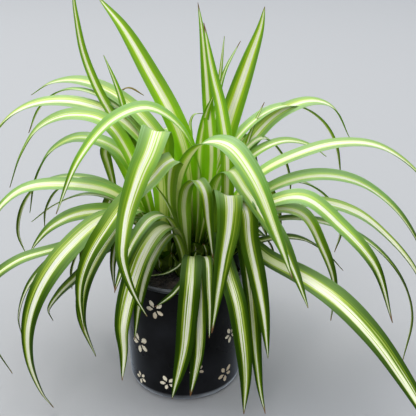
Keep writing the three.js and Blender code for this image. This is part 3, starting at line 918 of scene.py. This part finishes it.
LEAVES["left"] = [
    [165, -25, 16, [[16, 75], [46, 130], [80, 135], [111, 121], [132, 93], [146, 61]]],
    [160, -20, 15, [[14, 60], [38, 104], [76, 113], [107, 97], [126, 68], [136, 32]]],
    [95, 0, 14, [
        [14, 49, 14], [34, 93, 35], [44, 100, 45], [49, 93, 49],
        [50, 79, 47], [48, 64, 44], [45, 45, 42], [41, 33, 41],
    ], 1.6],
    [180, -22, 15, [[16, 45], [42, 72], [84, 80], [119, 75], [143, 55], [160, 24], [165, 2]]],
    [155, -5, 12, [[20, 45], [52, 69], [92, 72], [129, 59], [152, 34], [163, 0], [156, -22]]],
    [165, 0, 13, [[16, 48], [40, 70], [74, 76], [98, 65], [112, 43], [115, 26]]],
    [150, 0, 9, [[20, 32], [50, 54], [85, 53], [121, 36], [157, 8]]],
    [190, -30, 16, [[16, 42], [44, 58], [76, 57], [96, 47], [109, 33], [114, 25]]],
    [200, -18, 12, [
        [18, 28], [52, 42], [88, 36], [126, 29], [150, 12], [158, -14], [152, -50], [141, -80],
    ]],
    [218, -25, 21, [
        [18, 44], [52, 64], [92, 46], [118, 20], [131, -8], [134, -40], [127, -76], [118, -97],
    ], 1.4],
    [205, 0, 12, [[30, 42], [72, 46], [98, 31], [120, 10], [131, -18], [130, -36]]],
    [262, -12, 25, [
        [-4, 38], [-1, 83, 1], [10, 111, 1], [25, 131, 4], [32, 139, 4],
        [41, 137, 4], [54, 127, 2], [65, 114, -3], [82, 87, -10], [92, 71, -11],
        [97, 60, -11], [100, 44, -7], [100, 27, -1], [96, 9, 6],
    ], 1.2],
    [225, -10, 15, [[10, 45], [30, 66], [60, 48], [84, 20], [91, -12], [80, -56]]],
    [210, 0, 16, [[20, 32], [54, 32], [80, 14], [98, 1], [108, -12], [105, -23]]],
    [230, 0, 11, [[10, 40], [30, 60], [50, 54], [60, 30], [60, 2]]],
    [128, 0, 14, [[16, 42], [46, 58], [80, 48], [104, 14], [112, -34]]],
    [145, 0, 14, [[18, 30], [48, 40], [80, 26], [100, -10], [104, -60]]],
    [172, 0, 13, [[16, 26], [46, 34], [72, 20], [86, -6], [88, -30]]],
]
LEAVES["back"] = [
    [150, -10, 11, [
        [22, 36], [44, 77, 5], [63, 109, 11], [78, 132, 15], [89, 152, 17],
        [101, 180, 17], [107, 210, 16], [109, 224, 15], [108, 242, 14],
    ]],
    [155, -10, 11, [[24, 40], [57, 95], [74, 148], [87, 177]]],
    [145, -50, 18, [[2, 50], [10, 102], [24, 131], [46, 162], [76, 200], [104, 224]]],
    [140, -50, 10, [[-12, 50], [-18, 100], [-14, 150], [-8, 205], [-4, 226]]],
    [40, 20, 6, [[6, 60], [22, 126], [28, 165], [32, 196]]],
    [30, 30, 6, [[8, 60], [19, 127], [28, 166], [44, 192]]],
    [35, 50, 19, [[8, 50], [26, 98], [40, 134], [56, 172], [68, 200], [72, 217]]],
    [130, -30, 11, [[-4, 50], [-7, 105], [-14, 136], [-25, 158]]],
    [150, -20, 17, [[18, 80], [46, 119], [84, 143], [122, 150], [158, 143], [184, 128]]],
    [155, 0, 11, [[26, 70], [60, 122], [100, 143], [134, 142], [162, 122], [178, 95]]],
    [162, -20, 16, [
        [24, 70], [62, 121], [104, 136], [146, 134], [178, 120], [202, 96], [218, 66], [224, 40],
    ]],
    [200, -25, 14, [[-4, 50], [-4, 88], [12, 126], [40, 146], [70, 139], [100, 108], [122, 62]]],
    [28, 22, 16, [[20, 55], [46, 92], [80, 123], [118, 132], [146, 122], [168, 89]]],
    [30, 5, 13, [[16, 70], [42, 109], [76, 129], [106, 129], [136, 111], [156, 84], [166, 48]]],
    [30, 0, 8, [[24, 45], [48, 90], [60, 118], [70, 136]]],
    [12, 15, 13, [[22, 55], [48, 94], [78, 107], [104, 101], [120, 89]]],
    [20, 0, 11, [[22, 62], [48, 100], [64, 108], [82, 92], [92, 66], [93, 46]]],
    [45, 0, 14, [[20, 48], [50, 66], [84, 56], [112, 22], [124, -26]]],
    [62, 0, 15, [[18, 60], [44, 96], [80, 98], [112, 70], [130, 28], [134, -10]]],
    [74, 0, 15, [[16, 35], [44, 50], [74, 40], [96, 8], [104, -40], [100, -80]]],
    [86, 5, 16, [[20, 55], [52, 84], [90, 78], [120, 44], [134, -8], [132, -50]]],
    [100, 0, 16, [[14, 38], [40, 52], [66, 40], [82, 6], [86, -40], [84, -88]]],
    [112, -5, 15, [[18, 62], [46, 100], [84, 100], [116, 68], [132, 22]]],
    [126, 0, 14, [[18, 50], [50, 74], [90, 66], [120, 34], [136, -10]]],
    [150, 0, 7, [
        [26, 46, -2], [58, 91, -3], [82, 127, -8], [86, 140, -13], [79, 144, -17], [68, 137, -23],
    ], 5],
    [100, 0, 5, [
        [14, 52, 11], [31, 84, 3], [44, 101, -3], [52, 113, -4], [55, 119, -8], [58, 119, -18],
    ]],
]
LEAVES["right"] = [
    [270, -15, 24, [
        [10, 42, 4], [23, 75, 7], [36, 89, 9], [45, 83, 10],
        [54, 66, 9], [63, 45, 5], [71, 19, 1], [75, -16, -4],
    ], 1.3],
    [286, 0, 16, [
        [8, 35], [22, 48, -4], [37, 38, -6], [58, 27, -7],
        [74, 10, -5], [84, -26, -2], [85, -56], [83, -93],
    ]],
    [295, 0, 14, [
        [10, 39, 1], [22, 58, 4], [38, 51, 5], [53, 16, 5],
        [64, -17, 4], [72, -53, 4], [81, -76, 3], [90, -92, 3],
    ]],
    [300, 5, 18, [[10, 40], [22, 70], [38, 80], [47, 75], [53, 50], [64, 26], [76, -6], [84, -42]]],
    [310, 10, 18, [
        [-6, 40, 1], [-4, 73], [6, 93, -1], [19, 101], [37, 88, 1],
        [56, 69, 5], [71, 54, 7], [87, 31, 8], [103, 7, 7],
    ]],
    [325, 20, 22, [
        [12, 28], [32, 37], [54, 28], [84, 22], [118, 10],
        [150, -12], [178, -41], [198, -66], [214, -88],
    ]],
    [342, 18, 15, [[18, 40], [46, 66], [74, 66], [93, 37], [105, 4], [104, -32]]],
    [342, 25, 17, [[14, 42], [40, 68], [74, 80], [107, 58], [136, 27], [155, -24]]],
    [0, 15, 15, [
        [16, 30], [44, 54], [82, 66], [120, 56], [152, 30], [178, -2], [194, -38], [196, -62],
    ]],
    [355, 0, 13, [[20, 32], [52, 52], [92, 51], [132, 33], [162, 0], [175, -36], [172, -86]]],
    [8, 20, 16, [
        [14, 45], [42, 74], [82, 86], [122, 79], [158, 53], [186, 16], [202, -20], [205, -44],
    ]],
    [22, 0, 11, [[18, 40], [48, 72], [82, 72], [112, 50], [127, 16], [122, -6]]],
    [15, 0, 12, [[18, 16], [46, 25], [78, 22], [104, 5], [124, -18]]],
    [15, 15, 15, [
        [12, 60], [38, 88], [74, 103], [112, 109], [150, 102], [190, 74], [214, 42], [224, 16],
    ]],
    [30, 15, 14, [[16, 18], [42, 28], [54, 18], [61, 5], [62, -10]]],
    [50, 0, 13, [[14, 34], [40, 44], [64, 28], [78, 2]]],
    [130, -20, 12, [[-12, 50], [-14, 106], [-6, 146], [6, 178], [16, 212]]],
]
ROOT = [1, -6]
print(sum(len(rows) for rows in LEAVES.values()), "leaves")


# %% A smooth curve through a leaf's points
COURSE_STEPS = 24


def smooth_course(points):
    """Points along a centripetal Catmull-Rom curve, close enough together to measure it."""
    padded = [2 * points[0] - points[1], *points, 2 * points[-1] - points[-2]]
    course = []
    for before, start, end, after in zip(padded, padded[1:], padded[2:], padded[3:]):
        gaps = [(b - a).length ** 0.5 for a, b in ((before, start), (start, end), (end, after))]
        leave = (start - before) / gaps[0] - (end - before) / (gaps[0] + gaps[1]) + (end - start) / gaps[1]
        arrive = (end - start) / gaps[1] - (after - start) / (gaps[1] + gaps[2]) + (after - end) / gaps[2]
        for step in range(COURSE_STEPS):
            t = step / COURSE_STEPS
            course.append(
                (2 * t**3 - 3 * t**2 + 1) * start + (t**3 - 2 * t**2 + t) * gaps[1] * leave
                + (3 * t**2 - 2 * t**3) * end + (t**3 - t**2) * gaps[1] * arrive
            )
    return [*course, points[-1]]


def even_places(course, count):
    """count + 1 places at equal distances along the course, each with its direction."""
    reach = [0.0]
    for a, b in zip(course, course[1:]):
        reach.append(reach[-1] + (b - a).length)
    places, index = [], 0
    for step in range(count + 1):
        due = reach[-1] * step / count
        while index < len(course) - 2 and reach[index + 1] < due:
            index += 1
        share = (due - reach[index]) / (reach[index + 1] - reach[index])
        places.append(course[index].lerp(course[index + 1], share))
    ends = [places[0], *places, places[-1]]
    return [(place, (b - a).normalized()) for place, a, b in zip(places, ends, ends[2:])]


# %% [markdown]
# ## One blade
# All the leaves are the same flat strip, modelled once: a grid, one unit long and two units wide,
# whose middle line is pulled down with proportional editing, which makes the soft channel. Each
# leaf is then a copy of it, laid along its course. The width grows from the clasping root to a
# little before the middle and then tapers to a fine tip.

# %% The blade strip
BLADE_RINGS = 64
BLADE_STRIPS = 10
ROOT_SHARE = 0.42
TIP_SHARE = 0.03
WIDEST_AT = 0.42
TAPER = 2.8
CHANNEL_SHARE = 0.22
CLASP_SHARE = 0.45
CLASP_LENGTH = 0.35
BLADE_THICKNESS = 0.6 * MM
MARGIN_SHARE = 0.25
BODY_GROUP = "body"


def make_strip():
    clear_selection()
    bpy.ops.mesh.primitive_grid_add(x_subdivisions=BLADE_RINGS, y_subdivisions=BLADE_STRIPS, size=2)
    strip = bpy.context.object
    edit(strip)
    choose(strip, lambda co: abs(co.y) < 1e-4)
    bpy.ops.transform.translate(
        value=(0, 0, -1), use_proportional_edit=True, proportional_size=1.0,
        proportional_edit_falloff="SMOOTH",
    )
    choose_all()
    bpy.ops.transform.resize(value=(0.5, 1, 1))
    bpy.ops.transform.translate(value=(0.5, 0, 0))
    leave_edit()
    strip.data.uv_layers[0].name = LEAF_MAP
    body = strip.vertex_groups.new(name=BODY_GROUP)
    for vertex in strip.data.vertices:
        body.add([vertex.index], 1 - vertex.co.y ** 2, "REPLACE")
    return strip


strip = make_strip()
channel = sorted({(round(vertex.co.y, 2), round(vertex.co.z, 3)) for vertex in strip.data.vertices})
print("channel", channel[:BLADE_STRIPS + 1])

# %% Lay a blade along its course
STRIPE_SHARES = (0.15, 0.31)
# A leaf is paler the higher it climbs, as painted light, between these rises in mm, and in part by
# chance.
PALE_RISES = (5, 70)
PALE_CHANCE = 0.2
# A ripple runs along the margins: its height as a share of half the width, and how often it waves.
RIPPLE_SHARES = (0.02, 0.05)
RIPPLE_WAVES = 17
RIPPLE_SLANT = 2


def width_share(t, taper):
    """Share of the full width along a blade."""
    if t < WIDEST_AT:
        return ROOT_SHARE + (1 - ROOT_SHARE) * math.sin(math.pi / 2 * t / WIDEST_AT) ** 2
    return 1 - (1 - TIP_SHARE) * ((t - WIDEST_AT) / (1 - WIDEST_AT)) ** taper


def channel_share(t):
    """Depth of the channel as a share of half the width."""
    return CHANNEL_SHARE + CLASP_SHARE * (1 - min(t / CLASP_LENGTH, 1)) ** 2


def leaf_rings(crown, row):
    """The rings of a blade: centre, side and up directions, half width and channel depth."""
    heading, roll, width, route = row[:4]
    taper = row[4] if len(row) > 4 else TAPER
    angle = math.radians(heading)
    out = Vector((math.cos(angle), math.sin(angle), 0))
    side = Vector((-math.sin(angle), math.cos(angle), 0))
    foot = Vector((crown[0] * MM, crown[1] * MM, CROWN_FOOT))
    points = [
        foot + MM * (out * point[0] + side * (point[2] if len(point) > 2 else 0) + Vector((0, 0, point[1])))
        for point in [ROOT, *route]
    ]
    rings = []
    for ring, (centre, along) in enumerate(even_places(smooth_course(points), BLADE_RINGS)):
        t = ring / BLADE_RINGS
        across = (side - along * side.dot(along)).normalized()
        across = Quaternion(along, math.radians(roll * min(1, 2 * t))) @ across
        half = width / 2 * MM * width_share(t, taper)
        rings.append((centre, across, along.cross(across), half, half * channel_share(t)))
    return rings


def draw_traits(route, draw):
    """How pale a leaf is, which sets its painted light, how wide its stripe is, and its seed."""
    top = max(point[1] for point in route)
    climb = (top - PALE_RISES[0]) / (PALE_RISES[1] - PALE_RISES[0])
    pale = min(1.0, max(0.0, climb)) * (1 - PALE_CHANCE) + draw.uniform(0, PALE_CHANCE)
    return {"pale": pale, "stripe": draw.uniform(*STRIPE_SHARES), "seed": draw.random()}


def lay_blade(crown, row, draw, seen):
    """A copy of the strip along one leaf's course, with its own traits or those that are seen."""
    rings = leaf_rings(crown, row)
    blade = copy_of(strip)
    wave, phase = draw.uniform(*RIPPLE_SHARES), draw.uniform(0, math.tau)
    ring_of = [round(vertex.co.x * BLADE_RINGS) for vertex in blade.data.vertices]
    for vertex, ring in zip(blade.data.vertices, ring_of):
        t, s, drop = vertex.co
        centre, across, up, half, depth = rings[ring]
        ripple = wave * half * s * s * math.sin(phase + RIPPLE_WAVES * t + RIPPLE_SLANT * s) * min(1, 4 * t)
        vertex.co = centre + across * (s * half) + up * (drop * depth + ripple)
    traits = draw_traits(row[3], draw) | seen
    mark = blade.data.attributes.new(LEAF_TRAITS, "FLOAT_VECTOR", "POINT")
    mark.data.foreach_set("vector", tuple(traits.values()) * len(blade.data.vertices))
    # How much each ring's upper face looks at the sky, used for painted light and a painted sky sheen.
    skyward = blade.data.attributes.new(LEAF_SKY, "FLOAT", "POINT")
    skyward.data.foreach_set("value", [max(0.0, rings[ring][2].z) for ring in ring_of])
    return blade


# %% [markdown]
# ## The crowns
# The leaves of a crown clasp a short stem that stands in the soil. A cylinder with its ends drawn
# in and its edges bevelled is enough for it, because the leaf bases hide all but its foot: a few
# short broad sheaths stand round it, laid by the same rule as the leaves. The traits of a leaf are
# drawn with a fixed seed, apart from those of a few leaves that the photo shows clearly. The blades
# are joined, a solidify modifier gives the thin sheets their thickness, and the stem joins them.

# %% Sheath and stem
SHEATHS = 7
SHEATH_WIDTHS = (15, 18)
SHEATH_HEIGHTS = (15, 24)
SHEATH_SWING = 15
# A paleness of 0 gives the sheaths the shady colours, painted shade by the crown.
SHEATH_TRAITS = {"pale": 0.0, "stripe": 0.04}
# How far out a sheath is in mm at each share of its height.
SHEATH_SHAPE = [(7, 0.12), (9, 0.4), (9, 0.7), (13, 1.0)]
STEM_SIDES = 28
STEM_END_SHARE = 0.7
STEM_END_ROUND = 3 * MM
# The stem is one green: a place near the foot of a leaf, between its stripe and its margin.
STEM_MAP_PLACE = (0.03, 0.25)
# Its low paleness gives the stem the shady colours, painted shade at the crown.
STEM_TRAITS = (0.1, 0.2, 0.1)


def sheath_row(index, draw):
    """The row of one short broad leaf base that clasps the crown."""
    heading = 360 * index / SHEATHS + draw.uniform(-SHEATH_SWING, SHEATH_SWING)
    rise = draw.uniform(*SHEATH_HEIGHTS)
    route = [[out, rise * share] for out, share in SHEATH_SHAPE]
    return [heading, 0, draw.uniform(*SHEATH_WIDTHS), route]


def add_faces(piece):
    """Gives a piece the upper and the lower leaf finish."""
    piece.data.materials.append(upper_face)
    piece.data.materials.append(under_face)


def make_stem(crown):
    middle = CROWN_FOOT + (CROWN_RISE - CROWN_DEPTH) / 2
    clear_selection()
    bpy.ops.mesh.primitive_cylinder_add(
        vertices=STEM_SIDES, radius=CROWN_RADIUS, depth=CROWN_RISE + CROWN_DEPTH,
        location=(crown[0] * MM, crown[1] * MM, middle),
    )
    stem = bpy.context.object
    bake_place(stem)
    edit(stem)
    for end in (-1, 1):
        choose(stem, lambda co: (co.z - middle) * end > 0)
        bpy.ops.transform.resize(value=(STEM_END_SHARE, STEM_END_SHARE, 1.0))
        bpy.ops.mesh.bevel(offset=STEM_END_ROUND, segments=4, affect="EDGES")
    leave_edit()
    stem.data.uv_layers[0].name = LEAF_MAP
    for corner in stem.data.uv_layers[0].uv:
        corner.vector = STEM_MAP_PLACE
    mark = stem.data.attributes.new(LEAF_TRAITS, "FLOAT_VECTOR", "POINT")
    mark.data.foreach_set("vector", STEM_TRAITS * len(stem.data.vertices))
    add_faces(stem)
    return stem


# %% Rosettes
# What the photo shows of single leaves, by their place in the table. A seed above one makes a tip
# dry further back, and a paleness above one keeps a leaf's painted light bright where it hangs.
SEEN_TRAITS = {
    ("front", 1): {"stripe": 0.52}, ("front", 11): {"stripe": 0.30}, ("left", 3): {"stripe": 0.36},
    ("right", 0): {"stripe": 0.30}, ("right", 5): {"stripe": 0.38}, ("right", 6): {"pale": 2.2},
    ("back", 24): {"seed": 6.4},
}


def make_rosette(name, seed):
    crown = CROWNS[name]
    draw = random.Random(seed)
    blades = [
        lay_blade(crown, row, draw, SEEN_TRAITS.get((name, index), {}))
        for index, row in enumerate(LEAVES[name])
    ]
    blades += [lay_blade(crown, sheath_row(index, draw), draw, SHEATH_TRAITS) for index in range(SHEATHS)]
    leaves = join(blades, f"leaves_{name}")
    add_faces(leaves)
    apply_modifier(
        leaves, "SOLIDIFY", thickness=BLADE_THICKNESS, offset=-1, material_offset=1,
        vertex_group=BODY_GROUP, thickness_vertex_group=MARGIN_SHARE,
    )
    return join([leaves, make_stem(crown)], f"leaves_{name}")


for seed, name in enumerate(CROWNS):
    hand_over(make_rosette(name, seed), f"rosette_{name}", angle=50)
bpy.data.objects.remove(strip)
